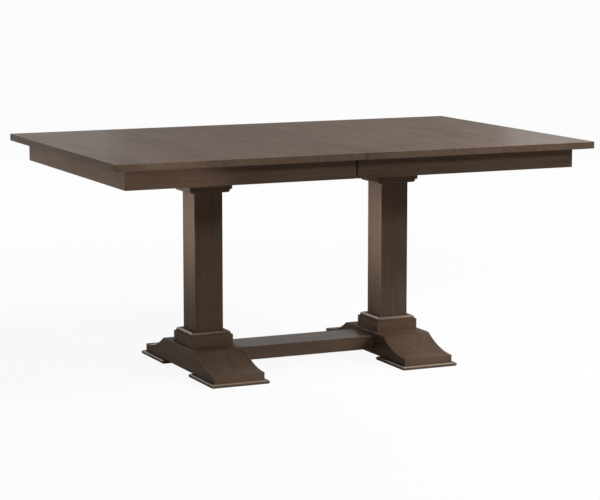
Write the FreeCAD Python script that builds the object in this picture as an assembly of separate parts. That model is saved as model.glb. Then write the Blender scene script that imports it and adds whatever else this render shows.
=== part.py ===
import FreeCAD, Part
import math
import os

# Double pedestal extension dining table, in millimetres.
# The origin lies on the floor below the middle of the top: +X along the top, +Y to the rear, +Z up.
# The base is one fixed trestle; the two halves of the top slide apart on geared equalizer slides.

V = FreeCAD.Vector

# Top, split in two halves across its middle
table_length = 1676.0
table_width = 1067.0
table_height = 762.0
top_thickness = 23.5
top_edge_round = 2.0
top_corner_round = 3.0
joint_edge_round = 0.6

# Apron rails, mitred at the table's corners
end_overhang = 50.0
side_overhang = 58.0
apron_height = 65.0
apron_thickness = 20.0
apron_edge_round = 1.5
apron_lap = 3.0
apron_joint_gap = 7.5
corner_block_side = 45.0
corner_block_height = 50.0

# Pedestals: foot, plinth, hollow column, capital and bearer on one tie rod each
pedestal_spacing = 688.0
column_side = 101.6
column_wall = 20.0
column_edge_round = 2.0
plug_height = 45.0
glue_gap = 0.2
block_side = 152.0
block_edge_round = 1.2
plinth_height = 48.0
capital_height = 42.0
moulding_ledge = 6.0
moulding_lip = 3.0
moulding_radius = 9.0
bearer_width = 100.0
bearer_length = 420.0
bearer_thickness = 36.0
bearer_end_chamfer = 12.0
dowel_diameter = 10.0
dowel_length = 40.0
wide_dowel_spread = 100.0
narrow_dowel_spread = 38.0

# Feet and the square pads under their toes
foot_width = 177.5
foot_length = 617.0
foot_height = 75.3
toe_height = 24.8
foot_crest_radius = 40.0
foot_cove_radius = 300.0
foot_edge_round = 2.0
pad_length = 203.0
pad_thickness = 12.7
pad_overhang = 12.5
pad_edge_round = 5.5
pad_screw_spread = 100.0

# Stretcher between the feet
stretcher_width = 146.0
stretcher_thickness = 46.0
stretcher_clearance = 30.0
stretcher_edge_round = 2.0
tenon_length = 40.0
tenon_shoulder = 12.0
stretcher_screw_spread = 70.0

# Tie rods with their nuts and washers
rod_diameter = 12.0
rod_recess = 20.0
rod_stickout = 3.0
nut_across_flats = 19.0
nut_height = 10.0
washer_diameter = 37.0
washer_thickness = 3.0
recess_clearance = 1.0

# Slides: a fixed center rail with a moving rail on each side, dovetailed together
slide_offset = 170.0
slide_travel = 457.2
center_rail_length = 1000.0
center_rail_width = 34.0
slide_rail_width = 30.0
slide_rail_height = 60.0
slide_clearance = 0.4
slide_relief = 1.0
slide_tail = 18.0
slide_end_gap = 8.0
top_clearance = 2.0
bearer_clearance = 2.5
tongue_rise = 18.0
tongue_height = 10.0
tongue_depth = 8.0
tongue_angle = 10.0
rail_screw_spread = 60.0

# Equalizer gears: one pinion in each center rail between two racks
gear_module = 2.0
pinion_teeth = 20
pressure_angle = 20.0
addendum_share = 1.0
dedendum_share = 1.25
flank_points = 5
pinion_thickness = 10.0
pinion_rise = 42.0
pinion_pin_diameter = 8.0
pinion_pin_length = 36.0
gear_backlash = 0.3
running_clearance = 0.05
axial_clearance = 0.3
window_clearance = 1.5
rack_margin = 3.0
rack_back = 4.5
rack_height = 12.0
rack_clearance = 0.2

# Alignment pins along the joint of the top
pin_diameter = 10.0
pin_length = 40.0
pin_reach = 15.0
pin_clearance = 0.2
pin_place_shares = (-0.4, -0.2, 0.2, 0.4)

# Lever locks under the joint
pivot_setback = 33.0
keeper_setback = 27.0
lock_plate_length = 50.0
lock_plate_width = 44.0
lock_plate_thickness = 4.0
keeper_plate_length = 40.0
lever_thickness = 4.0
lever_gap = 0.5
lever_arm_width = 18.0
lever_hook_diameter = 26.0
lever_tail_length = 62.0
lever_tail_width = 15.0
lock_swing = 90.0
pivot_diameter = 8.0
stud_diameter = 8.0
stud_clearance = 0.6
lock_head_diameter = 14.0
lock_head_height = 3.0

# Screws, each with a round head, a shank and a square drive
top_screw_head = 9.0
top_screw_head_height = 3.5
top_screw_shank = 4.8
top_screw_length = 36.0
top_screw_bite = 15.0
long_screw_head = 13.0
long_screw_head_height = 4.5
long_screw_shank = 6.3
long_screw_length = 55.0
long_screw_sink = 8.0
pad_screw_length = 27.0
pad_screw_sink = 5.0
corner_screw_length = 58.0
corner_screw_stagger = 14.0
lock_screw_head = 8.0
lock_screw_head_height = 2.4
lock_screw_shank = 4.0
lock_screw_length = 15.0
lock_screw_spread = 34.0
keeper_screw_spread = 22.0
keeper_screw_setback = 14.0
screw_tip_share = 0.15
drive_side_share = 0.35
drive_depth_share = 0.6
side_apron_screw_shares = (0.25, 0.5, 0.75)
end_apron_screw_shares = (-0.3, 0.0, 0.3)
slide_screw_shares = (0.08, 0.31, 0.54, 0.77, 0.97)

# Shared clearances, the overrun of every cut, and the tolerance that finds an edge by its place
hole_clearance = 0.15
rod_clearance = 0.5
overrun = 5.0
touch = 0.01

# Levels and places worked out from the sizes
joint_half = table_length / 2
table_half = table_width / 2
under_top = table_height - top_thickness
apron_bottom = under_top - apron_height
apron_end = joint_half - end_overhang
apron_side = table_half - side_overhang
apron_inner_end = apron_end - apron_thickness
apron_inner_side = apron_side - apron_thickness
slide_rail_bottom = under_top - slide_rail_height
bearer_top = slide_rail_bottom - bearer_clearance
bearer_bottom = bearer_top - bearer_thickness
capital_bottom = bearer_bottom - capital_height
center_rail_top = under_top - top_clearance
foot_top = pad_thickness + foot_height
toe_top = pad_thickness + toe_height
plinth_top = foot_top + plinth_height
pad_width = foot_width + 2 * pad_overhang
pad_outer_end = foot_length / 2 + pad_overhang
pad_middle = pad_outer_end - pad_length / 2
stretcher_half = (pedestal_spacing - foot_width) / 2
tongue_level = bearer_top + tongue_rise
pinion_level = bearer_top + pinion_rise
pitch_radius = gear_module * pinion_teeth / 2
tip_radius = pitch_radius + addendum_share * gear_module
rack_lead = tip_radius + rack_margin
lock_plate_bottom = under_top - lock_plate_thickness
lever_top = lock_plate_bottom - lever_gap
lever_bottom = lever_top - lever_thickness
lever_arm = pivot_setback + keeper_setback
lever_inner_reach = lever_arm + lever_hook_diameter / 2
lever_outer_reach = lever_tail_length + lever_tail_width / 2
slide_outer_side = slide_offset + center_rail_width / 2 + slide_clearance + slide_rail_width
lever_room = (apron_inner_side - slide_outer_side - lever_inner_reach - lever_outer_reach) / 2
lock_offset = slide_outer_side + lever_room + lever_inner_reach

left, right = -1, 1
front, rear = -1, 1
sides = (("left", left), ("right", right))
rows = (("front", front), ("rear", rear))


# Plain solids

def box(xs, ys, zs):
    low = V(min(xs), min(ys), min(zs))
    size = V(max(xs), max(ys), max(zs)).sub(low)
    return Part.makeBox(size.x, size.y, size.z, low)


def upright(radius, x, y, zs):
    return Part.makeCylinder(radius, max(zs) - min(zs), V(x, y, min(zs)))


def along_x(radius, xs, y, z):
    return Part.makeCylinder(radius, max(xs) - min(xs), V(min(xs), y, z), V(1, 0, 0))


def prism(points, run):
    return Part.Face(Part.makePolygon(points + points[:1])).extrude(run)


def edged_prism(edges, run):
    return Part.Face(Part.Wire(Part.__sortEdges__(edges))).extrude(run)


def line(start, end):
    return Part.LineSegment(start, end).toShape()


def arc(start, middle, end):
    return Part.Arc(start, middle, end).toShape()


def rounded(shape, radius, chosen):
    edges = [edge for edge in shape.Edges if chosen(edge.BoundBox)]
    return shape.makeFillet(radius, edges)


def group(solids):
    return Part.makeCompound(solids)


# Screws point along +Z from the seat under the head, and their bores follow the same sizes

top_screw = (top_screw_head, top_screw_head_height, top_screw_shank)
long_screw = (long_screw_head, long_screw_head_height, long_screw_shank)
lock_screw = (lock_screw_head, lock_screw_head_height, lock_screw_shank)


def screw(kind, length):
    head, head_height, shank = kind
    head_disc = upright(head / 2, 0, 0, (-head_height, 0))
    body = upright(shank / 2, 0, 0, (0, length - shank))
    tip = Part.makeCone(shank / 2, screw_tip_share * shank, shank, V(0, 0, length - shank))
    drive = drive_side_share * head / 2
    socket = box((-drive, drive), (-drive, drive), (-head_height, (drive_depth_share - 1) * head_height))
    return head_disc.fuse([body, tip]).removeSplitter().cut(socket)


def screw_bore(kind, sink, length):
    head, head_height, shank = kind
    counterbore = upright(head / 2 + hole_clearance, 0, 0, (-sink - overrun, 0))
    hole = upright(shank / 2 + hole_clearance, 0, 0, (0, length + hole_clearance))
    return counterbore.fuse(hole)


def placed(shape, seat, direction):
    turn = FreeCAD.Rotation(V(0, 0, 1), direction)
    copy = shape.copy()
    copy.Placement = FreeCAD.Placement(seat, turn)
    return copy


def screw_set(kind, sink, length, seats):
    body = screw(kind, length)
    bore = screw_bore(kind, sink, length)
    screws = [placed(body, seat, direction) for seat, direction in seats]
    bores = [placed(bore, seat, direction) for seat, direction in seats]
    return screws, bores


up = V(0, 0, 1)


# Halves of the top

def top_half(side):
    panel = box((0, side * joint_half), (-table_half, table_half), (under_top, table_height))
    panel = rounded(panel, top_corner_round,
                    lambda b: b.ZLength > touch and abs(b.Center.x) > joint_half - touch)
    panel = rounded(panel, top_edge_round,
                    lambda b: b.ZLength < touch and abs(b.Center.x) > touch)
    return rounded(panel, joint_edge_round, lambda b: max(abs(b.XMin), abs(b.XMax)) < touch)


def alignment_pin(y):
    level = (under_top + table_height) / 2
    return along_x(pin_diameter / 2, (-pin_reach, pin_length - pin_reach), y, level)


def alignment_bores():
    radius = pin_diameter / 2 + pin_clearance
    level = (under_top + table_height) / 2
    reach = (-pin_reach - pin_clearance, pin_length - pin_reach + pin_clearance)
    return [along_x(radius, reach, share * table_width, level) for share in pin_place_shares]


# Apron rails: the right-hand side rails run past the joint of the top, the left-hand ones stop short

def side_apron(side, row):
    joint_end = -apron_lap if side == right else -apron_lap - apron_joint_gap
    outer = side * apron_end
    inner = side * apron_inner_end
    plan = [V(joint_end, row * apron_side, apron_bottom),
            V(outer, row * apron_side, apron_bottom),
            V(inner, row * apron_inner_side, apron_bottom),
            V(joint_end, row * apron_inner_side, apron_bottom)]
    rail = prism(plan, V(0, 0, apron_height))
    return rounded(rail, apron_edge_round,
                   lambda b: b.ZMax < apron_bottom + touch and abs(b.Center.y) > apron_side - touch)


def end_apron(side):
    plan = [V(side * apron_end, -apron_side, apron_bottom), V(side * apron_end, apron_side, apron_bottom),
            V(side * apron_inner_end, apron_inner_side, apron_bottom),
            V(side * apron_inner_end, -apron_inner_side, apron_bottom)]
    rail = prism(plan, V(0, 0, apron_height))
    return rounded(rail, apron_edge_round,
                   lambda b: b.ZMax < apron_bottom + touch and abs(b.Center.x) > apron_end - touch)


def corner_block(side, row):
    return box((side * apron_inner_end, side * (apron_inner_end - corner_block_side)),
               (row * apron_inner_side, row * (apron_inner_side - corner_block_side)),
               (under_top - corner_block_height, under_top))


def corner_seats(side):
    seats = []
    level = under_top - corner_block_height / 2
    for name, row in rows:
        middle_x = side * (apron_inner_end - corner_block_side / 2)
        middle_y = row * (apron_inner_side - corner_block_side / 2)
        end_seat = V(side * (apron_inner_end - corner_block_side), middle_y, level + corner_screw_stagger)
        side_seat = V(middle_x, row * (apron_inner_side - corner_block_side), level - corner_screw_stagger)
        seats.append((end_seat, V(side, 0, 0)))
        seats.append((side_seat, V(0, row, 0)))
    return seats


def top_screw_seats(side):
    seat_level = under_top - top_screw_length + top_screw_bite
    places = []
    for name, row in rows:
        for share in side_apron_screw_shares:
            places.append((side * share * apron_end, row * (apron_side - apron_thickness / 2)))
        for share in slide_screw_shares:
            places.append((side * share * slide_outer_end, slide_screw_line(side, row)))
    for share in end_apron_screw_shares:
        places.append((side * (apron_end - apron_thickness / 2), share * 2 * apron_side))
    return [(V(x, y, seat_level), up) for x, y in places]


# Slides: the moving rail of the left half runs outside the center rail, that of the right half inside

slide_outer_end = apron_inner_end - slide_end_gap
slide_inner_end = slide_travel + rack_lead + slide_tail


def slide_direction(side, row):
    return -side * row


def slide_screw_line(side, row):
    toward = slide_direction(side, row)
    rack_reach = pitch_radius + dedendum_share * gear_module + rack_back
    outer_face = center_rail_width / 2 + slide_clearance + slide_rail_width
    return row * slide_offset + toward * (rack_reach + outer_face) / 2


def dovetail(xs, root, face, tip, half):
    flare = abs(tip - face) * math.tan(math.radians(tongue_angle))
    x = min(xs)
    outline = [V(x, root, tongue_level - half), V(x, face, tongue_level - half),
               V(x, tip, tongue_level - half - flare), V(x, tip, tongue_level + half + flare),
               V(x, face, tongue_level + half), V(x, root, tongue_level + half)]
    return prism(outline, V(max(xs) - x, 0, 0))


def center_rail(row):
    middle = row * slide_offset
    half_length = center_rail_length / 2
    half_width = center_rail_width / 2
    rail = box((-half_length, half_length), (middle - half_width, middle + half_width),
               (bearer_top, center_rail_top))
    for toward in (-1, 1):
        face = middle + toward * half_width
        groove = dovetail((-half_length - overrun, half_length + overrun), face + toward * overrun, face,
                          face - toward * tongue_depth, tongue_height / 2)
        rail = rail.cut(groove)
    window = tip_radius + window_clearance
    window_half = pinion_thickness / 2 + axial_clearance
    rail = rail.cut(box((-window, window), (middle - half_width - overrun, middle + half_width + overrun),
                        (pinion_level - window_half, pinion_level + window_half)))
    pin_levels = (center_rail_top - pinion_pin_length, center_rail_top + overrun)
    return rail.cut(upright(pinion_pin_diameter / 2 + running_clearance, 0, middle, pin_levels))


def slide_rail(side, row):
    toward = slide_direction(side, row)
    face = row * slide_offset + toward * center_rail_width / 2
    inner = face + toward * slide_clearance
    outer = inner + toward * slide_rail_width
    ends = (side * slide_outer_end, -side * slide_inner_end)
    rail = box(ends, (inner, outer), (slide_rail_bottom, under_top))
    relief = box((0, -side * (slide_inner_end + overrun)),
                 (inner - toward * overrun, outer + toward * overrun),
                 (under_top - slide_relief, under_top + overrun))
    rail = rail.cut(relief)
    tongue = dovetail(ends, inner, face, face - toward * (tongue_depth - slide_clearance),
                      tongue_height / 2 - slide_clearance)
    back = row * slide_offset + toward * (pitch_radius + dedendum_share * gear_module + rack_back)
    channel_half = rack_height / 2 + rack_clearance
    channel_lead = rack_lead + rack_clearance
    channel = box((side * channel_lead, -side * (slide_travel + channel_lead)),
                  (inner - toward * slide_clearance, back + toward * rack_clearance),
                  (pinion_level - channel_half, pinion_level + channel_half))
    return rail.fuse(tongue).removeSplitter().cut(channel)


def rack(side, row):
    toward = slide_direction(side, row)
    middle = row * slide_offset
    level = pinion_level - rack_height / 2
    pitch = math.pi * gear_module
    slope = math.tan(math.radians(pressure_angle))
    half = pitch / 4 - gear_backlash / 2
    tip_half = half - addendum_share * gear_module * slope
    root_half = half + dedendum_share * gear_module * slope
    tip = middle + toward * (pitch_radius - addendum_share * gear_module)
    root = middle + toward * (pitch_radius + dedendum_share * gear_module)
    back = root + toward * rack_back
    start, end = sorted((side * rack_lead, -side * (slide_travel + rack_lead)))
    outline = [V(start, back, level), V(start, root, level)]
    first = math.ceil((start + root_half) / pitch - 0.5)
    last = math.floor((end - root_half) / pitch - 0.5)
    for tooth in range(first, last + 1):
        x = (tooth + 0.5) * pitch
        outline += [V(x - root_half, root, level), V(x - tip_half, tip, level),
                    V(x + tip_half, tip, level), V(x + root_half, root, level)]
    outline += [V(end, root, level), V(end, back, level)]
    return prism(outline, V(0, 0, rack_height))


def polar(radius, angle, y, z):
    return V(radius * math.cos(angle), y + radius * math.sin(angle), z)


def involute(angle):
    return math.tan(angle) - angle


def pinion(row):
    middle = row * slide_offset
    level = pinion_level - pinion_thickness / 2
    press = math.radians(pressure_angle)
    base_radius = pitch_radius * math.cos(press)
    root_radius = pitch_radius - dedendum_share * gear_module
    pitch_half = (math.pi * gear_module / 4 - gear_backlash / 2) / pitch_radius
    step = 2 * math.pi / pinion_teeth

    def half_angle(radius):
        return pitch_half + involute(press) - involute(math.acos(min(1, base_radius / radius)))

    radii = [base_radius + (tip_radius - base_radius) * k / (flank_points - 1) for k in range(flank_points)]
    edges = []
    for tooth in range(pinion_teeth):
        axis = math.pi / 2 + tooth * step
        rising = [polar(r, axis - half_angle(r), middle, level) for r in radii]
        falling = [polar(r, axis + half_angle(r), middle, level) for r in reversed(radii)]
        root_start = polar(root_radius, axis - half_angle(base_radius), middle, level)
        root_end = polar(root_radius, axis + half_angle(base_radius), middle, level)
        next_root = polar(root_radius, axis + step - half_angle(base_radius), middle, level)
        for flank in (rising, falling):
            curve = Part.BSplineCurve()
            curve.interpolate(flank)
            edges.append(curve.toShape())
        edges.append(line(root_start, rising[0]))
        edges.append(arc(rising[-1], polar(tip_radius, axis, middle, level), falling[0]))
        edges.append(line(falling[-1], root_end))
        edges.append(arc(root_end, polar(root_radius, axis + step / 2, middle, level), next_root))
    gear = edged_prism(edges, V(0, 0, pinion_thickness))
    bore = upright(pinion_pin_diameter / 2 + running_clearance, 0, middle,
                   (level - overrun, level + pinion_thickness + overrun))
    return gear.cut(bore)


def pinion_pin(row):
    return upright(pinion_pin_diameter / 2, 0, row * slide_offset,
                   (center_rail_top - pinion_pin_length, center_rail_top))


# Pedestals

def foot_edges(x):
    drop = foot_height - toe_height
    both = foot_crest_radius + foot_cove_radius
    reach = math.sqrt(drop * (2 * both - drop))
    toe = foot_length / 2
    crest = toe - reach
    turn_share = foot_crest_radius / both
    half_turn = math.asin(reach / both) / 2
    edges = [line(V(x, -toe, pad_thickness), V(x, toe, pad_thickness)),
             line(V(x, -crest, foot_top), V(x, crest, foot_top))]
    for sign in (front, rear):
        turn = V(x, sign * (crest + turn_share * reach), foot_top - turn_share * drop)
        over = V(x, sign * (crest + foot_crest_radius * math.sin(half_turn)),
                 foot_top - foot_crest_radius * (1 - math.cos(half_turn)))
        under = V(x, sign * (toe - foot_cove_radius * math.sin(half_turn)),
                  toe_top + foot_cove_radius * (1 - math.cos(half_turn)))
        edges.append(arc(V(x, sign * crest, foot_top), over, turn))
        edges.append(arc(turn, under, V(x, sign * toe, toe_top)))
        edges.append(line(V(x, sign * toe, toe_top), V(x, sign * toe, pad_thickness)))
    return edges


def foot(x, inward):
    half_width = foot_width / 2
    body = edged_prism(foot_edges(x - half_width), V(foot_width, 0, 0))
    body = rounded(body, foot_edge_round,
                   lambda b: b.ZMax > pad_thickness + touch
                   and (b.XLength < touch or b.ZMin > toe_top - touch
                        and abs(b.Center.y) > foot_length / 2 - touch))
    face = x + inward * half_width
    half = stretcher_width / 2 - tenon_shoulder + glue_gap
    low = stretcher_clearance + tenon_shoulder - glue_gap
    high = stretcher_clearance + stretcher_thickness - tenon_shoulder + glue_gap
    bottom = face - inward * (tenon_length + glue_gap)
    mortise = box((face + inward * overrun, bottom), (-half, half), (low, high))
    return body.cut(mortise)


def pad(x, row):
    half_width = pad_width / 2
    body = box((x - half_width, x + half_width), (row * pad_outer_end, row * (pad_outer_end - pad_length)),
               (0, pad_thickness))
    return rounded(body, pad_edge_round, lambda b: b.ZLength < touch)


def moulded_outline(low, high, place):
    shoulder = high - math.copysign(moulding_lip + moulding_radius, high - low)
    lip = high - math.copysign(moulding_radius, high - low)
    half = block_side / 2
    neck = half - moulding_ledge
    crown = neck - moulding_radius
    bend = neck - moulding_radius * (1 - math.cos(math.pi / 4))
    bend_level = lip + (high - lip) * math.sin(math.pi / 4)
    edges = [line(place(-half, low), place(half, low)), line(place(-crown, high), place(crown, high))]
    for sign in (-1, 1):
        edges.append(line(place(sign * half, low), place(sign * half, shoulder)))
        edges.append(line(place(sign * half, shoulder), place(sign * neck, shoulder)))
        edges.append(line(place(sign * neck, shoulder), place(sign * neck, lip)))
        edges.append(arc(place(sign * neck, lip), place(sign * bend, bend_level), place(sign * crown, high)))
    return edges


def moulded_block(x, low, high):
    half = block_side / 2
    along = edged_prism(moulded_outline(low, high, lambda a, z: V(x - half, a, z)), V(block_side, 0, 0))
    across = edged_prism(moulded_outline(low, high, lambda a, z: V(x + a, -half, z)), V(0, block_side, 0))
    block = along.common(across).removeSplitter()
    return rounded(block, block_edge_round,
                   lambda b: b.ZLength > touch and b.XLength < touch and b.YLength < touch
                   and abs(b.Center.y) > half - touch)


def column_boards(x):
    half = column_side / 2
    hollow = half - column_wall
    post = box((x - half, x + half), (-half, half), (plinth_top, capital_bottom))
    post = rounded(post, column_edge_round, lambda b: b.ZLength > touch)
    levels = (plinth_top - overrun, capital_bottom + overrun)
    tube = post.cut(box((x - hollow, x + hollow), (-hollow, hollow), levels))
    boards = []
    for quarter in range(4):
        turn = quarter * math.pi / 2
        corners = [V(x, 0, plinth_top)]
        for corner in (turn - math.pi / 4, turn + math.pi / 4):
            reach = V(column_side * math.cos(corner), column_side * math.sin(corner), 0)
            corners.append(V(x, 0, plinth_top).add(reach))
        boards.append(tube.common(prism(corners, V(0, 0, capital_bottom - plinth_top))))
    return group(boards)


def column_plugs(x):
    half = column_side / 2 - column_wall - glue_gap
    spans = ((plinth_top, plinth_top + plug_height), (capital_bottom - plug_height, capital_bottom))
    return [box((x - half, x + half), (-half, half), levels) for levels in spans]


def bearer(x):
    half = bearer_length / 2
    flat = half - bearer_end_chamfer
    start = x - bearer_width / 2
    chamfer_top = bearer_bottom + bearer_end_chamfer
    outline = [V(start, -half, bearer_top), V(start, -half, chamfer_top), V(start, -flat, bearer_bottom),
               V(start, flat, bearer_bottom), V(start, half, chamfer_top), V(start, half, bearer_top)]
    return prism(outline, V(bearer_width, 0, 0))


def dowel_places(x):
    places = []
    for level in (foot_top, bearer_bottom):
        places += [(x, row * wide_dowel_spread / 2, level) for row in (front, rear)]
    for level in (plinth_top, capital_bottom):
        places += [(x, row * narrow_dowel_spread / 2, level) for row in (front, rear)]
    return places


def dowel(place, clearance):
    x, y, level = place
    half = dowel_length / 2 + clearance
    return upright(dowel_diameter / 2 + clearance, x, y, (level - half, level + half))


# Tie rods: washer and nut sit in a recess under the foot and in one on top of the bearer

low_seat = pad_thickness + rod_recess
high_seat = bearer_top - rod_recess


def tie_rod(x):
    reach = washer_thickness + nut_height + rod_stickout
    return upright(rod_diameter / 2, x, 0, (low_seat - reach, high_seat + reach))


def tie_rod_bore(x):
    radius = rod_diameter / 2 + rod_clearance
    recess = washer_diameter / 2 + recess_clearance
    hole = upright(radius, x, 0, (pad_thickness - overrun, bearer_top + overrun))
    low_recess = upright(recess, x, 0, (pad_thickness - overrun, low_seat))
    high_recess = upright(recess, x, 0, (high_seat, bearer_top + overrun))
    return hole.fuse([low_recess, high_recess])


def washers(x):
    spans = ((low_seat - washer_thickness, low_seat), (high_seat, high_seat + washer_thickness))
    hole = rod_diameter / 2 + hole_clearance
    return [upright(washer_diameter / 2, x, 0, span).cut(upright(hole, x, 0, span)) for span in spans]


def nuts(x):
    low = low_seat - washer_thickness - nut_height
    high = high_seat + washer_thickness
    corner = nut_across_flats / math.sqrt(3)
    hole = rod_diameter / 2 + hole_clearance
    solids = []
    for level in (low, high):
        points = [V(x + corner * math.cos(k * math.pi / 3), corner * math.sin(k * math.pi / 3), level)
                  for k in range(6)]
        hexagon = prism(points, V(0, 0, nut_height))
        solids.append(hexagon.cut(upright(hole, x, 0, (level, level + nut_height))))
    return solids


# Stretcher with a tenon at each end

def stretcher():
    half = stretcher_width / 2
    high = stretcher_clearance + stretcher_thickness
    beam = box((-stretcher_half, stretcher_half), (-half, half), (stretcher_clearance, high))
    beam = rounded(beam, stretcher_edge_round, lambda b: b.XLength > touch)
    reach = stretcher_half + tenon_length
    tenon = box((-reach, reach), (tenon_shoulder - half, half - tenon_shoulder),
                (stretcher_clearance + tenon_shoulder, high - tenon_shoulder))
    return beam.fuse(tenon).removeSplitter()


# Lever locks, modelled with the lever turned to its locked place and swung back to rest

def lock_plate(row):
    half_length = lock_plate_length / 2
    half_width = lock_plate_width / 2
    y = row * lock_offset
    plate = box((-pivot_setback - half_length, -pivot_setback + half_length),
                (y - half_width, y + half_width),
                (lock_plate_bottom, under_top))
    levels = (lock_plate_bottom - overrun, under_top + overrun)
    return plate.cut(upright(pivot_diameter / 2 + running_clearance, -pivot_setback, y, levels))


def lock_pivot(row):
    y = row * lock_offset
    head_top = lever_bottom - axial_clearance
    head = upright(lock_head_diameter / 2, -pivot_setback, y, (head_top - lock_head_height, head_top))
    return head.fuse(upright(pivot_diameter / 2, -pivot_setback, y, (head_top, under_top)))


def lock_keeper(row):
    half_length = keeper_plate_length / 2
    half_width = lock_plate_width / 2
    y = row * lock_offset
    plate = box((keeper_setback - half_length, keeper_setback + half_length),
                (y - half_width, y + half_width),
                (lock_plate_bottom, under_top))
    head_top = lever_bottom - axial_clearance
    stud = upright(stud_diameter / 2, keeper_setback, y, (head_top, lock_plate_bottom))
    head = upright(lock_head_diameter / 2, keeper_setback, y, (head_top - lock_head_height, head_top))
    return plate.fuse([stud, head]).removeSplitter()


def lock_lever(row):
    x = -pivot_setback
    y = row * lock_offset
    levels = (lever_bottom, lever_top)
    hook = lever_hook_diameter / 2
    arm_half = lever_arm_width / 2
    tail_half = lever_tail_width / 2
    tail_end = x - lever_tail_length
    lever = upright(hook, x + lever_arm, y, levels)
    lever = lever.fuse([upright(arm_half, x, y, levels), upright(tail_half, tail_end, y, levels),
                        box((x, x + lever_arm), (y - arm_half, y + arm_half), levels),
                        box((tail_end, x), (y - tail_half, y + tail_half), levels)]).removeSplitter()
    slot = stud_diameter / 2 + stud_clearance
    cut_levels = (lever_bottom - overrun, lever_top + overrun)
    ring = upright(lever_arm + slot, x, y, cut_levels).cut(upright(lever_arm - slot, x, y, cut_levels))
    mouth = box((x, x + lever_arm + slot + overrun), (y, y + row * (hook + overrun)), cut_levels)
    lever = lever.cut(ring.common(mouth))
    lever = lever.cut(upright(slot, x + lever_arm, y, cut_levels))
    lever = lever.cut(upright(pivot_diameter / 2 + running_clearance, x, y, cut_levels))
    lever.rotate(V(x, y, 0), V(0, 0, 1), -row * lock_swing)
    return lever


def lock_screw_seats(row):
    level = lock_plate_bottom + lock_screw_head_height
    x = -pivot_setback
    y = row * lock_offset
    half = lock_screw_spread / 2
    return [(V(x - half, y + row * half, level), up), (V(x + half, y - row * half, level), up)]


def keeper_screw_seats(row):
    level = lock_plate_bottom + lock_screw_head_height
    y = row * (lock_offset + keeper_screw_setback)
    half = keeper_screw_spread / 2
    return [(V(keeper_setback - half, y, level), up), (V(keeper_setback + half, y, level), up)]


# Base: every pedestal piece is drilled for its rod, dowels and screws

pieces = {}
plugs = []
rods = []
rod_nuts = []
rod_washers = []
dowels = []
base_bores = []

for name, side in sides:
    place = side * pedestal_spacing / 2
    places = dowel_places(place)
    dowels += [dowel(spot, 0) for spot in places]
    base_bores += [dowel(spot, hole_clearance) for spot in places]
    base_bores.append(tie_rod_bore(place))
    rods.append(tie_rod(place))
    rod_nuts += nuts(place)
    rod_washers += washers(place)
    pieces[name + "_foot"] = foot(place, -side)
    pieces[name + "_plinth"] = moulded_block(place, foot_top, plinth_top)
    pieces[name + "_column_boards"] = column_boards(place)
    pieces[name + "_capital"] = moulded_block(place, bearer_bottom, capital_bottom)
    pieces[name + "_bearer"] = bearer(place)
    plugs += column_plugs(place)
    for row_name, row in rows:
        pieces[name + "_" + row_name + "_pad"] = pad(place, row)

pieces["stretcher"] = stretcher()

pad_seats = []
tenon_seats = []
rail_seats = []
tenon_seat = pad_thickness + long_screw_sink
for name, side in sides:
    place = side * pedestal_spacing / 2
    tenon_x = side * (stretcher_half + tenon_length / 2)
    for row_name, row in rows:
        for end in (left, right):
            pad_seats.append((V(place + end * pad_screw_spread / 2, row * pad_middle, pad_screw_sink), up))
            rail_seats.append((V(place + end * rail_screw_spread / 2, row * slide_offset,
                                 bearer_bottom + long_screw_sink), up))
        tenon_seats.append((V(tenon_x, row * stretcher_screw_spread / 2, tenon_seat), up))

tenon_screw_length = stretcher_clearance + stretcher_thickness - tenon_shoulder - tenon_seat - hole_clearance
pad_screws, pad_bores = screw_set(top_screw, pad_screw_sink, pad_screw_length, pad_seats)
tenon_screws, tenon_bores = screw_set(long_screw, long_screw_sink, tenon_screw_length, tenon_seats)
rail_screws, rail_bores = screw_set(long_screw, long_screw_sink, long_screw_length, rail_seats)

base_bores += pad_bores + tenon_bores + rail_bores
for row_name, row in rows:
    pieces[row_name + "_center_rail"] = center_rail(row)


def drilled(shape, bores):
    near = [bore for bore in bores if bore.BoundBox.intersect(shape.BoundBox)]
    return shape.cut(near) if near else shape


for name in list(pieces):
    if not name.endswith("boards"):
        pieces[name] = drilled(pieces[name], base_bores)

pieces["column_plugs"] = group([drilled(plug, base_bores) for plug in plugs])
pieces["tie_rods"] = group(rods)
pieces["tie_rod_nuts"] = group(rod_nuts)
pieces["tie_rod_washers"] = group(rod_washers)
pieces["pedestal_dowels"] = group(dowels)
pieces["pad_screws"] = group(pad_screws)
pieces["stretcher_screws"] = group(tenon_screws)
pieces["center_rail_screws"] = group(rail_screws)
pieces["pinion_pins"] = group([pinion_pin(row) for row_name, row in rows])


# Halves: top, apron, corner blocks, slides and racks, drilled for the screws that hold them

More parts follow.
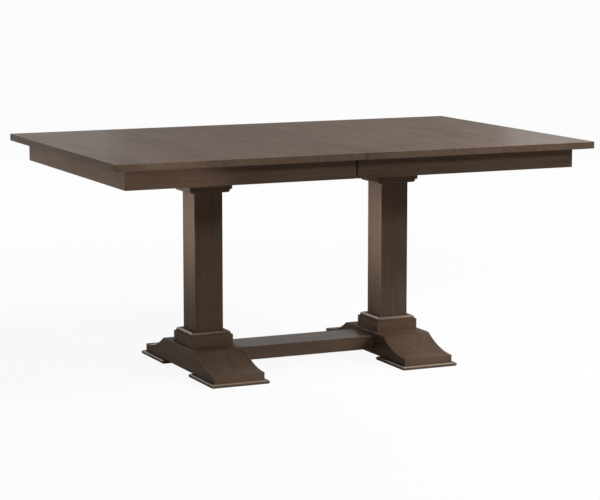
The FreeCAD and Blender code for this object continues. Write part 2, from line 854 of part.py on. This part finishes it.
for name, side in sides:
    top_sink = apron_height - top_screw_length + top_screw_bite
    top_screws, bores = screw_set(top_screw, top_sink, top_screw_length, top_screw_seats(side))
    corner_screws, corner_bores = screw_set(top_screw, 0, corner_screw_length, corner_seats(side))
    bores += corner_bores
    lock_seats = []
    for row_name, row in rows:
        lock_seats += lock_screw_seats(row) if side == left else keeper_screw_seats(row)
    lock_screws, lock_bores = screw_set(lock_screw, lock_screw_head_height, lock_screw_length, lock_seats)
    half = {"top": drilled(top_half(side), alignment_bores() + lock_bores)}
    half["end_apron"] = end_apron(side)
    for row_name, row in rows:
        half[row_name + "_apron"] = side_apron(side, row)
        half[row_name + "_slide"] = slide_rail(side, row)
    for piece, shape in half.items():
        pieces[name + "_" + piece] = drilled(shape, bores)
    blocks = [drilled(corner_block(side, row), bores) for row_name, row in rows]
    pieces[name + "_corner_blocks"] = group(blocks)
    for row_name, row in rows:
        pieces[name + "_" + row_name + "_rack"] = rack(side, row)
    pieces[name + "_top_screws"] = group(top_screws)
    pieces[name + "_corner_screws"] = group(corner_screws)
    lock_name = "lock_plate" if side == left else "lock_keeper"
    lock_maker = lock_plate if side == left else lock_keeper
    pieces[lock_name + "s"] = group([drilled(lock_maker(row), lock_bores) for row_name, row in rows])
    pieces[lock_name + "_screws"] = group(lock_screws)

pieces["lock_pivots"] = group([lock_pivot(row) for row_name, row in rows])
pieces["alignment_pins"] = group([alignment_pin(share * table_width) for share in pin_place_shares])
for row_name, row in rows:
    pieces[row_name + "_pinion"] = pinion(row)
    pieces[row_name + "_lock_lever"] = lock_lever(row)

os.makedirs("parts", exist_ok=True)
for name, shape in pieces.items():
    shape.exportStep("parts/" + name + ".step")
    print(name, len(shape.Solids), shape.isValid(), round(shape.Volume))
print(len(pieces), "nodes")
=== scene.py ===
import math
import bpy
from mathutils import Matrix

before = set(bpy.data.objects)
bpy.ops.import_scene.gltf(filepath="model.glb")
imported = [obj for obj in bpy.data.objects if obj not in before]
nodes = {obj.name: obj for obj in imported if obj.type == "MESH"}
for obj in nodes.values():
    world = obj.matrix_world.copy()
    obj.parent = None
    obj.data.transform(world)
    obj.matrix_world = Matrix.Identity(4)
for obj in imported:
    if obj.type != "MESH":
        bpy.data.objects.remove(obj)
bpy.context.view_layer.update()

bpy.ops.object.select_all(action="DESELECT")

# Feet: one per pedestal, sawn and shaped from a thick maple billet, with a coved slope down to each toe.
# The maple is stained a warm grey brown, sealed and rubbed to a satin sheen. Grain runs from toe to toe.


def add(tree, kind, sockets=(), **values):
    """One node in a tree, with its settings and what goes into its sockets: a link or a plain value."""
    made = tree.nodes.new(kind)
    for name, value in values.items():
        setattr(made, name, value)
    for socket, source in sockets:
        if hasattr(source, "is_output"):
            tree.links.new(source, made.inputs[socket])
        else:
            made.inputs[socket].default_value = source
    return made


def math_node(tree, operation, *operands, clamp=False):
    made = add(tree, "ShaderNodeMath", list(enumerate(operands)), operation=operation, use_clamp=clamp)
    return made.outputs[0]


def plus(tree, total, part, share, clamp=False):
    """A total with a share of one more part added to it."""
    return math_node(tree, "MULTIPLY_ADD", part, share, total, clamp=clamp)


def remap(tree, value, low, high, new_low, new_high, smooth=False):
    """A value carried from one range to another, held at the ends."""
    made = add(tree, "ShaderNodeMapRange", [("Value", value), ("From Min", low), ("From Max", high),
                                            ("To Min", new_low), ("To Max", new_high)])
    made.interpolation_type = "SMOOTHSTEP" if smooth else "LINEAR"
    return made.outputs["Result"]


def ramp(tree, value, start, full):
    """A soft mask: nothing at the start value, one at the full value."""
    return remap(tree, value, start, full, 0.0, 1.0, smooth=True)


def blend(tree, share, first, second):
    """Two colours mixed by a share."""
    first_colour = 6
    second_colour = 7
    mixed_colour = 2
    made = add(tree, "ShaderNodeMix", [("Factor", share), (first_colour, first), (second_colour, second)],
               data_type="RGBA")
    return made.outputs[mixed_colour]


def stretched(tree, place, scale):
    return add(tree, "ShaderNodeVectorMath", [(0, place), (1, scale)], operation="MULTIPLY").outputs[0]


def noise(tree, place, detail, roughness=0.5, scale=1.0):
    return add(tree, "ShaderNodeTexNoise", [("Vector", place), ("Scale", scale), ("Detail", detail),
                                            ("Roughness", roughness)])


def wood_grain_group():
    """Maple under a wiping stain: fibre, growth lines, blotches and pores along the group's own X axis."""
    tree = bpy.data.node_groups.new("maple_grain", "ShaderNodeTree")
    face = tree.interface
    for name in ("Place", "Facing"):
        face.new_socket(name, in_out="INPUT", socket_type="NodeSocketVector")
    for name in ("Dark", "Light", "Worn and highlight"):
        face.new_socket(name, in_out="INPUT", socket_type="NodeSocketColor")
    for name in ("Tone", "Figure", "Shine", "Wear and highlight", "Lacquer", "Edge", "Polish"):
        face.new_socket(name, in_out="INPUT", socket_type="NodeSocketFloat")
    face.new_socket("Colour", in_out="OUTPUT", socket_type="NodeSocketColor")
    for name in ("Roughness", "Height", "Lacquer"):
        face.new_socket(name, in_out="OUTPUT", socket_type="NodeSocketFloat")
    given = tree.nodes.new("NodeGroupInput").outputs
    place = given["Place"]

    # Waves per metre along and across the grain
    sway_waves = (2.3, 8.0, 8.0)
    streak_waves = (1.7, 62.0, 62.0)
    fibre_waves = (13.0, 640.0, 640.0)
    blotch_waves = (4.5, 10.0, 10.0)
    contour_waves = (0.8, 8.5, 8.5)
    pore_waves = (52.0, 950.0, 950.0)
    sway_reach = (0.0, 0.016, 0.016)
    rings_in_contour = 70.0
    sway = noise(tree, stretched(tree, place, sway_waves), detail=2.0).outputs["Color"]
    drift = add(tree, "ShaderNodeVectorMath", [(0, sway), (1, sway_reach), (2, place)],
                operation="MULTIPLY_ADD").outputs[0]
    streak = noise(tree, stretched(tree, drift, streak_waves), detail=4.0, roughness=0.62).outputs["Fac"]
    fibre = noise(tree, stretched(tree, drift, fibre_waves), detail=2.0, roughness=0.6).outputs["Fac"]
    blotch = noise(tree, stretched(tree, place, blotch_waves), detail=3.0, roughness=0.55).outputs["Fac"]
    contour = noise(tree, stretched(tree, drift, contour_waves), detail=1.0).outputs["Fac"]
    ring = math_node(tree, "SINE", math_node(tree, "MULTIPLY", contour, rings_in_contour))
    ring = ramp(tree, ring, start=-0.2, full=1.0)
    pore = noise(tree, stretched(tree, drift, pore_waves), detail=0.0).outputs["Fac"]
    pore = ramp(tree, pore, start=0.66, full=0.76)
    along = add(tree, "ShaderNodeSeparateXYZ", [(0, given["Facing"])]).outputs["X"]
    end = ramp(tree, math_node(tree, "ABSOLUTE", along), start=0.55, full=0.95)

    # Stain: each part of the figure darkens or lightens it, and end grain shows less of them
    middle = 0.5
    streak_swing = math_node(tree, "SUBTRACT", streak, middle)
    fibre_swing = math_node(tree, "SUBTRACT", fibre, middle)
    blotch_swing = math_node(tree, "SUBTRACT", blotch, middle)
    figure = math_node(tree, "MULTIPLY", streak_swing, 0.95)
    figure = plus(tree, figure, fibre_swing, share=0.45)
    figure = plus(tree, figure, blotch_swing, share=0.9)
    figure = plus(tree, figure, ring, share=-0.14)
    figure = plus(tree, figure, pore, share=-0.22)
    strength = math_node(tree, "MULTIPLY", given["Figure"], plus(tree, 1.0, end, share=-0.5))
    tone = plus(tree, given["Tone"], figure, strength)
    tone = plus(tree, tone, end, share=0.06, clamp=True)
    stain = blend(tree, tone, given["Dark"], given["Light"])

    # Rubbed edges: the stain wears off them in streaks; the lighter worn colour is also a painted
    # highlight.
    uneven = remap(tree, streak, low=0.3, high=0.6, new_low=0.7, new_high=1.0)
    rubbed_and_highlight = math_node(tree, "MULTIPLY", given["Edge"], given["Wear and highlight"])
    rubbed_and_highlight = math_node(tree, "MULTIPLY", rubbed_and_highlight, uneven, clamp=True)
    colour = blend(tree, rubbed_and_highlight, stain, given["Worn and highlight"])

    # Sheen: light streaks, pores and end grain are duller, pores take less lacquer, edges are polished
    gloss = plus(tree, given["Shine"], streak_swing, share=0.16)
    gloss = plus(tree, gloss, pore, share=0.12)
    gloss = plus(tree, gloss, end, share=0.08)
    lacquer = plus(tree, given["Lacquer"], streak_swing, share=0.06)
    lacquer = plus(tree, lacquer, pore, share=-0.05, clamp=True)
    lacquer = plus(tree, lacquer, given["Edge"], given["Polish"], clamp=True)
    height = math_node(tree, "MULTIPLY", streak, 0.4)
    height = plus(tree, height, fibre, share=0.35)
    height = plus(tree, height, pore, share=-0.5)
    result = tree.nodes.new("NodeGroupOutput").inputs
    tree.links.new(colour, result["Colour"])
    tree.links.new(gloss, result["Roughness"])
    tree.links.new(height, result["Height"])
    tree.links.new(lacquer, result["Lacquer"])
    return tree


def rounded_edge_group():
    """Where a square piece turns over an edge: one on a round, nothing on its flat faces."""
    tree = bpy.data.node_groups.new("rounded_edge", "ShaderNodeTree")
    tree.interface.new_socket("Facing", in_out="INPUT", socket_type="NodeSocketVector")
    tree.interface.new_socket("Edge", in_out="OUTPUT", socket_type="NodeSocketFloat")
    tree.interface.new_socket("Side edge", in_out="OUTPUT", socket_type="NodeSocketFloat")
    facing = tree.nodes.new("NodeGroupInput").outputs["Facing"]
    parts = add(tree, "ShaderNodeSeparateXYZ", [(0, facing)]).outputs
    along, across, up = [math_node(tree, "ABSOLUTE", part) for part in parts]
    most = math_node(tree, "MAXIMUM", math_node(tree, "MAXIMUM", along, across), up)
    least = math_node(tree, "MINIMUM", across, math_node(tree, "MAXIMUM", along, up))
    # Only rounds that face upwards get it: rubbed stain there, and a painted highlight where light falls
    # from above.
    upward_wear_and_highlight = ramp(tree, parts["Z"], start=-0.3, full=0.3)
    edge = ramp(tree, most, start=0.99, full=0.86)
    side_edge = ramp(tree, least, start=0.1, full=0.5)
    result = tree.nodes.new("NodeGroupOutput").inputs
    tree.links.new(math_node(tree, "MULTIPLY", edge, upward_wear_and_highlight), result["Edge"])
    tree.links.new(math_node(tree, "MULTIPLY", side_edge, upward_wear_and_highlight), result["Side edge"])
    return tree


maple_grain = wood_grain_group()
rounded_edge = rounded_edge_group()
along_length = (0.0, 0.0, 0.0)
along_depth = (0.0, 0.0, math.radians(-90.0))
along_height = (0.0, math.radians(90.0), 0.0)
stain_dark = (0.060, 0.036, 0.022, 1.0)
stain_light = (0.165, 0.110, 0.076, 1.0)
# The worn colour lightens upward rounded edges: partly rubbed-through stain, partly a painted highlight.
stain_wear_and_highlight = (0.32, 0.235, 0.175, 1.0)
wood_reflection = 0.02
lacquer_roughness = 0.26
grain_bump = 0.25
grain_depth = 0.0006


def wood(name, turn, dark=stain_dark, light=stain_light, shine=0.64, shift=(0.0, 0.0, 0.0), tone=0.5,
         figure=0.6, lacquer=0.07, edge="Edge", wear_and_highlight=0.35, wear_and_highlight_colour=stain_wear_and_highlight, polish=0.6):
    """A maple finish whose grain runs the way that the turn gives."""
    material = bpy.data.materials.new(name)
    material.use_nodes = True
    tree = material.node_tree
    shader = tree.nodes["Principled BSDF"]
    source = tree.nodes.new("ShaderNodeTexCoord").outputs
    place = add(tree, "ShaderNodeMapping", [("Vector", source["Object"]), ("Location", shift),
                                            ("Rotation", turn)]).outputs[0]
    facing = add(tree, "ShaderNodeMapping", [("Vector", source["Normal"]), ("Rotation", turn)]).outputs[0]
    turnover = add(tree, "ShaderNodeGroup", node_tree=rounded_edge)
    tree.links.new(facing, turnover.inputs["Facing"])
    grain = add(tree, "ShaderNodeGroup", node_tree=maple_grain)
    tree.links.new(place, grain.inputs["Place"])
    tree.links.new(facing, grain.inputs["Facing"])
    tree.links.new(turnover.outputs[edge], grain.inputs["Edge"])
    for socket, value in (("Tone", tone), ("Figure", figure), ("Dark", dark), ("Light", light),
                          ("Worn and highlight", wear_and_highlight_colour), ("Wear and highlight", wear_and_highlight), ("Shine", shine), ("Lacquer", lacquer),
                          ("Polish", polish)):
        grain.inputs[socket].default_value = value
    bump = add(tree, "ShaderNodeBump", [("Height", grain.outputs["Height"]), ("Strength", grain_bump),
                                        ("Distance", grain_depth)])
    tree.links.new(grain.outputs["Colour"], shader.inputs["Base Color"])
    tree.links.new(grain.outputs["Roughness"], shader.inputs["Roughness"])
    tree.links.new(grain.outputs["Lacquer"], shader.inputs["Coat Weight"])
    tree.links.new(bump.outputs[0], shader.inputs["Normal"])
    shader.inputs["Specular IOR Level"].default_value = wood_reflection
    shader.inputs["Coat Roughness"].default_value = lacquer_roughness
    return material


def finish(names, material):
    for name in names:
        piece = nodes[name]
        piece.data.materials.clear()
        piece.data.materials.append(material)


foot_shifts = {"left_foot": (0.31, 0.0, 0.0), "right_foot": (0.0, 1.7, 0.0)}
for foot, foot_shift in foot_shifts.items():
    finish([foot], wood(foot + "_stain", along_depth, shift=foot_shift, tone=0.55, lacquer=0.05,
                        edge="Side edge", polish=0.04))

# Pads: flat maple plates with a rolled edge all round, which carry the table on the floor.
# They are screwed under the toes and stained with the feet.
# Their rolled edges are lightened with the worn colour: rubbed stain and a painted highlight.
finish(["left_front_pad", "left_rear_pad", "right_front_pad", "right_rear_pad"],
       wood("pad_stain", along_depth, shift=(0.0, 0.9, 0.2), lacquer=0.05, wear_and_highlight=0.9, polish=0.4))

# Plinths and capitals: square maple blocks above the feet and under the bearers, moulded on all four sides
# with a ledge, a lip and a hollow. The grain of a block runs along the table.
# The plinths' upper rounds are lightened the same way, as rubbed stain and a painted highlight.
finish(["left_plinth", "right_plinth"],
       wood("plinth_stain", along_length, shift=(0.4, 0.3, 0.0), lacquer=0.05, wear_and_highlight=0.75, polish=0.45))
finish(["left_capital", "right_capital"],
       wood("capital_stain", along_length, shift=(0.1, 0.8, 0.0), tone=0.4, lacquer=0.04, polish=0.04))

# Columns: four maple boards mitred into a square box and glued round a plug at each end, grain upright.
# A steel rod down the middle clamps foot, plinth, column, capital and bearer together.
finish(["left_column_boards", "right_column_boards"],
       wood("column_stain", along_height, tone=0.45, figure=0.45))

# Stretcher: one flat maple board between the two feet, close to the floor, with eased edges.
# It is tenoned into the feet and screwed from below, and its top catches more sheen than they do.
finish(["stretcher"], wood("stretcher_stain", along_length, shift=(0.0, 0.6, 0.0), tone=0.42, lacquer=0.25))

# Bearers, center rails, slides, corner blocks, plugs and dowels: maple that the closed table hides.
# It is planed and waxed and left unstained, so that the slides run freely.
bare_dark = (0.42, 0.29, 0.17, 1.0)
bare_light = (0.68, 0.53, 0.36, 1.0)
# Their worn colour lightens upward rounded edges too, as wear and as a painted highlight.
bare_wear_and_highlight = (0.72, 0.58, 0.42, 1.0)
finish(["left_bearer", "right_bearer"],
       wood("bearer_maple", along_depth, bare_dark, bare_light, shine=0.55, wear_and_highlight_colour=bare_wear_and_highlight))
finish(["front_center_rail", "rear_center_rail", "left_front_slide", "left_rear_slide",
        "right_front_slide", "right_rear_slide"],
       wood("rail_maple", along_length, bare_dark, bare_light, shine=0.5, wear_and_highlight_colour=bare_wear_and_highlight))
finish(["left_corner_blocks", "right_corner_blocks", "column_plugs", "pedestal_dowels"],
       wood("block_maple", along_height, bare_dark, bare_light, shine=0.55, wear_and_highlight_colour=bare_wear_and_highlight))

# Tie rods, nuts, washers, screws, racks, pinions and their pins: turned and cut steel hardware.
# The zinc plating is a little cloudy and finely pitted.
zinc_dark = (0.46, 0.47, 0.48, 1.0)
zinc_light = (0.68, 0.68, 0.66, 1.0)
steel_words = ("screws", "tie_rod", "rack", "pinion")
clouds_per_metre = 160.0
pits_per_metre = 900.0
pit_bump = 0.15
pit_depth = 0.0003


def metal(name, dark, light, shine):
    """A cloudy metal with fine pits that vary its sheen."""
    material = bpy.data.materials.new(name)
    material.use_nodes = True
    tree = material.node_tree
    shader = tree.nodes["Principled BSDF"]
    place = tree.nodes.new("ShaderNodeTexCoord").outputs["Object"]
    cloud = noise(tree, place, detail=3.0, roughness=0.6, scale=clouds_per_metre).outputs["Fac"]
    pits = noise(tree, place, detail=2.0, roughness=0.6, scale=pits_per_metre).outputs["Fac"]
    colour = blend(tree, ramp(tree, cloud, start=0.3, full=0.7), dark, light)
    gloss = remap(tree, pits, low=0.3, high=0.7, new_low=shine - 0.08, new_high=shine + 0.1)
    bump = add(tree, "ShaderNodeBump", [("Height", pits), ("Strength", pit_bump), ("Distance", pit_depth)])
    tree.links.new(colour, shader.inputs["Base Color"])
    tree.links.new(gloss, shader.inputs["Roughness"])
    tree.links.new(bump.outputs[0], shader.inputs["Normal"])
    shader.inputs["Metallic"].default_value = 1.0
    return material


steel_names = [name for name in nodes if any(word in name for word in steel_words)]
finish(steel_names, metal("zinc_plate", zinc_dark, zinc_light, shine=0.36))

# Aprons: maple boards on edge under the top, set back from its rim, mitred at the corners and parted in
# the middle. Blocks and screws in the corners hold them, and they are stained with the top.
finish(["left_front_apron", "right_front_apron", "left_rear_apron", "right_rear_apron"],
       wood("apron_stain", along_length))
finish(["left_end_apron", "right_end_apron"], wood("end_apron_stain", along_depth))

# Top: two halves, each glued up from maple boards that run across the table, sanded flat with eased edges.
# Each board takes the stain a little differently. The parting is darkened: gathered stain and painted
# shade.
board_width = 0.105
board_unevenness = 0.55
board_grain_shift = (0.4, 3.0, 1.0)
darkest_board = 0.36
lightest_board = 0.57


def glued_boards_group():
    """Boards side by side along X, with a fine glue line between.

    Each board has its own shift of grain and its own tone.
    """
    tree = bpy.data.node_groups.new("glued_boards", "ShaderNodeTree")
    face = tree.interface
    face.new_socket("Place", in_out="INPUT", socket_type="NodeSocketVector")
    face.new_socket("Boards", in_out="INPUT", socket_type="NodeSocketFloat")
    face.new_socket("Place", in_out="OUTPUT", socket_type="NodeSocketVector")
    face.new_socket("Tone", in_out="OUTPUT", socket_type="NodeSocketFloat")
    given = tree.nodes.new("NodeGroupInput").outputs
    across = add(tree, "ShaderNodeSeparateXYZ", [(0, given["Place"])]).outputs["X"]
    count = math_node(tree, "MULTIPLY", across, given["Boards"])
    board = add(tree, "ShaderNodeTexVoronoi", voronoi_dimensions="1D", feature="F1")
    edge = add(tree, "ShaderNodeTexVoronoi", voronoi_dimensions="1D", feature="DISTANCE_TO_EDGE")
    for cells in (board, edge):
        cells.inputs["Scale"].default_value = 1.0
        cells.inputs["Randomness"].default_value = board_unevenness
        tree.links.new(count, cells.inputs["W"])
    own = board.outputs["Color"]
    place = add(tree, "ShaderNodeVectorMath", [(0, own), (1, board_grain_shift), (2, given["Place"])],
                operation="MULTIPLY_ADD").outputs[0]
    chance = add(tree, "ShaderNodeSeparateXYZ", [(0, own)]).outputs["Y"]
    tone = remap(tree, chance, low=0.0, high=1.0, new_low=darkest_board, new_high=lightest_board)
    from_edge = edge.outputs["Distance"]
    glue = remap(tree, from_edge, low=0.001, high=0.006, new_low=0.16, new_high=0.0, smooth=True)
    # Along the parting at the middle: gathered stain and a painted shade of its eased groove.
    from_middle = math_node(tree, "ABSOLUTE", across)
    parting_stain_and_shade = remap(tree, from_middle, low=0.0012, high=0.0055, new_low=0.5, new_high=0.0, smooth=True)
    tone = math_node(tree, "SUBTRACT", tone, glue)
    tone = math_node(tree, "SUBTRACT", tone, parting_stain_and_shade)
    result = tree.nodes.new("NodeGroupOutput").inputs
    tree.links.new(place, result["Place"])
    tree.links.new(tone, result["Tone"])
    return tree


# The top's eased arrises are lightened a little: rubbed stain and a painted highlight.
top_stain = wood("top_stain", along_depth, figure=0.7, lacquer=0.105, wear_and_highlight=0.5, polish=0.15)
tree = top_stain.node_tree
grain = next(step for step in tree.nodes if step.type == "GROUP" and step.node_tree == maple_grain)
turned = grain.inputs["Place"].links[0].from_node
source = turned.inputs["Vector"].links[0].from_socket
boards = add(tree, "ShaderNodeGroup", node_tree=glued_boards_group())
boards.inputs["Boards"].default_value = 1.0 / board_width
tree.links.new(source, boards.inputs["Place"])
tree.links.new(boards.outputs["Place"], turned.inputs["Vector"])
tree.links.new(boards.outputs["Tone"], grain.inputs["Tone"])
finish(["left_top", "right_top"], top_stain)

# Locks and alignment pins: cast and turned brass at the joint of the top.
# The levers, plates and keepers sit under the top, screwed to it, and have been left to dull.
brass_dark = (0.50, 0.36, 0.15, 1.0)
brass_light = (0.72, 0.55, 0.28, 1.0)
brass_names = [name for name in nodes if (name.startswith("lock_") and "screws" not in name)
               or name.endswith("lock_lever") or name == "alignment_pins"]
finish(brass_names, metal("dull_brass", brass_dark, brass_light, shine=0.34))

# Studio: a pale painted floor that runs out of sight and keeps the table's shadow, and a white surround.
# Seen from below, the floor is clear, so that the underside of the table shows.
floor_size = 120.0
floor_drop = 0.0004
floor_roughness = 0.9
floor_reflection = 0.1
floor_seen_tone = 0.95
floor_bounce_tone = 0.5
shadow_reach = 1.0
plain_floor_reach = 4.0
white_near_table = 0.92
white_far_off = 0.97
surround = 0.01


def seen_directly(tree):
    """One for what is seen straight, mirrored or through clear matter, nothing for light that bounces."""
    path = tree.nodes.new("ShaderNodeLightPath").outputs
    seen = math_node(tree, "MAXIMUM", path["Is Camera Ray"], path["Is Glossy Ray"])
    return math_node(tree, "MAXIMUM", seen, path["Is Transmission Ray"])


bpy.ops.mesh.primitive_plane_add(size=floor_size, location=(0.0, 0.0, -floor_drop))
floor = bpy.context.object
floor.name = "studio_floor"
bpy.ops.object.transform_apply(location=True, rotation=True, scale=True)
floor_paint = bpy.data.materials.new("floor_paint")
floor_paint.use_nodes = True
tree = floor_paint.node_tree
shader = tree.nodes["Principled BSDF"]
shader.inputs["Roughness"].default_value = floor_roughness
shader.inputs["Specular IOR Level"].default_value = floor_reflection
seen = seen_directly(tree)
floor_tone = remap(tree, seen, low=0.0, high=1.0, new_low=floor_bounce_tone, new_high=floor_seen_tone)
tree.links.new(floor_tone, shader.inputs["Base Color"])
ground = tree.nodes.new("ShaderNodeTexCoord").outputs["Object"]
away = add(tree, "ShaderNodeVectorMath", [(0, ground)], operation="LENGTH").outputs["Value"]
whiteness = remap(tree, away, shadow_reach, plain_floor_reach, white_near_table, white_far_off, smooth=True)
white = math_node(tree, "MULTIPLY", seen, whiteness)
glow = add(tree, "ShaderNodeEmission", [("Strength", 1.0)])
both = add(tree, "ShaderNodeMixShader", [(0, white), (1, shader.outputs[0]), (2, glow.outputs[0])])
under = tree.nodes.new("ShaderNodeNewGeometry").outputs["Backfacing"]
clear = tree.nodes.new("ShaderNodeBsdfTransparent")
shown = add(tree, "ShaderNodeMixShader", [(0, under), (1, both.outputs[0]), (2, clear.outputs[0])])
tree.links.new(shown.outputs[0], tree.nodes["Material Output"].inputs["Surface"])
floor.data.materials.append(floor_paint)

world = bpy.data.worlds.new("studio")
bpy.context.scene.world = world
world.use_nodes = True
tree = world.node_tree
strength = plus(tree, surround, seen_directly(tree), share=1.0 - surround)
tree.nodes["Background"].inputs["Color"].default_value = (1.0, 1.0, 1.0, 1.0)
tree.links.new(strength, tree.nodes["Background"].inputs["Strength"])


def softbox(name, place, aim, size, power, spread=180.0):
    """A square-fronted lamp that faces a point of the table."""
    data = bpy.data.lights.new(name, "AREA")
    data.shape = "RECTANGLE"
    data.size, data.size_y = size
    data.energy = power
    data.spread = math.radians(spread)
    lamp = bpy.data.objects.new(name, data)
    lamp.location = place
    run = [end - start for end, start in zip(aim, place)]
    flat = math.hypot(run[0], run[1])
    lamp.rotation_euler = (math.atan2(flat, -run[2]), 0.0, math.atan2(-run[0], run[1]))
    lamp.visible_camera = False
    bpy.context.scene.collection.objects.link(lamp)


softbox("left_strip_lamp", (-5.75, 1.7, 0.88), (0.0, 0.0, 0.47), (1.6, 0.3), 2.4, 5.0)
softbox("left_front_lamp", (-1.5, -4.6, 1.3), (-0.66, -0.5, 0.74), (0.3, 0.2), 0.09, 4.0)
softbox("low_left_lamp", (-4.6, 0.9, 0.4), (-0.34, 0.0, 0.1), (0.8, 0.2), 0.16, 10.0)
softbox("middle_front_lamp", (-0.4, -6.2, 3.2), (-0.1, -0.4, 0.6), (2.2, 0.8), 54.0)
softbox("right_front_lamp", (3.4, -2.0, 3.6), (0.4, -0.2, 0.3), (1.4, 1.4), 225.0)
softbox("right_middle_lamp", (3.2, -5.0, 2.8), (0.1, -0.3, 0.4), (1.0, 0.8), 57.0)
softbox("low_right_lamp", (2.6, -4.4, 0.6), (0.0, -0.2, 0.08), (1.0, 0.3), 0.25, 10.0)
softbox("right_rear_lamp", (4.4, 5.0, 1.8), (0.7, -0.1, 0.76), (1.2, 2.0), 21.0)
softbox("left_rear_lamp", (1.2, 6.6, 1.7), (-0.7, 0.0, 0.76), (1.0, 2.0), 7.0)
softbox("low_rear_lamp", (0.0, 5.0, 0.45), (0.0, 0.2, 0.4), (2.6, 0.6), 6.0, 30.0)
softbox("high_rear_lamp", (-0.4, 6.0, 3.4), (0.0, 0.0, 0.4), (3.0, 1.6), 48.0)

# Camera: at the height of a standing person, some seven metres off the table's front, to its left.
# It has a long lens and looks a little downwards.
camera_place = (-3.0006, -6.5772, 1.4691)
camera_dip = math.radians(8.575)
camera_swing = math.radians(-24.606)
level_view = math.radians(90.0)
camera_data = bpy.data.cameras.new("camera")
camera_data.sensor_width = 36.0
camera_data.lens = 129.32
camera = bpy.data.objects.new("camera", camera_data)
camera.location = camera_place
camera.rotation_euler = (level_view - camera_dip, 0.0, camera_swing)
bpy.context.scene.collection.objects.link(camera)
bpy.context.scene.camera = camera
bpy.context.scene.view_settings.view_transform = "Standard"
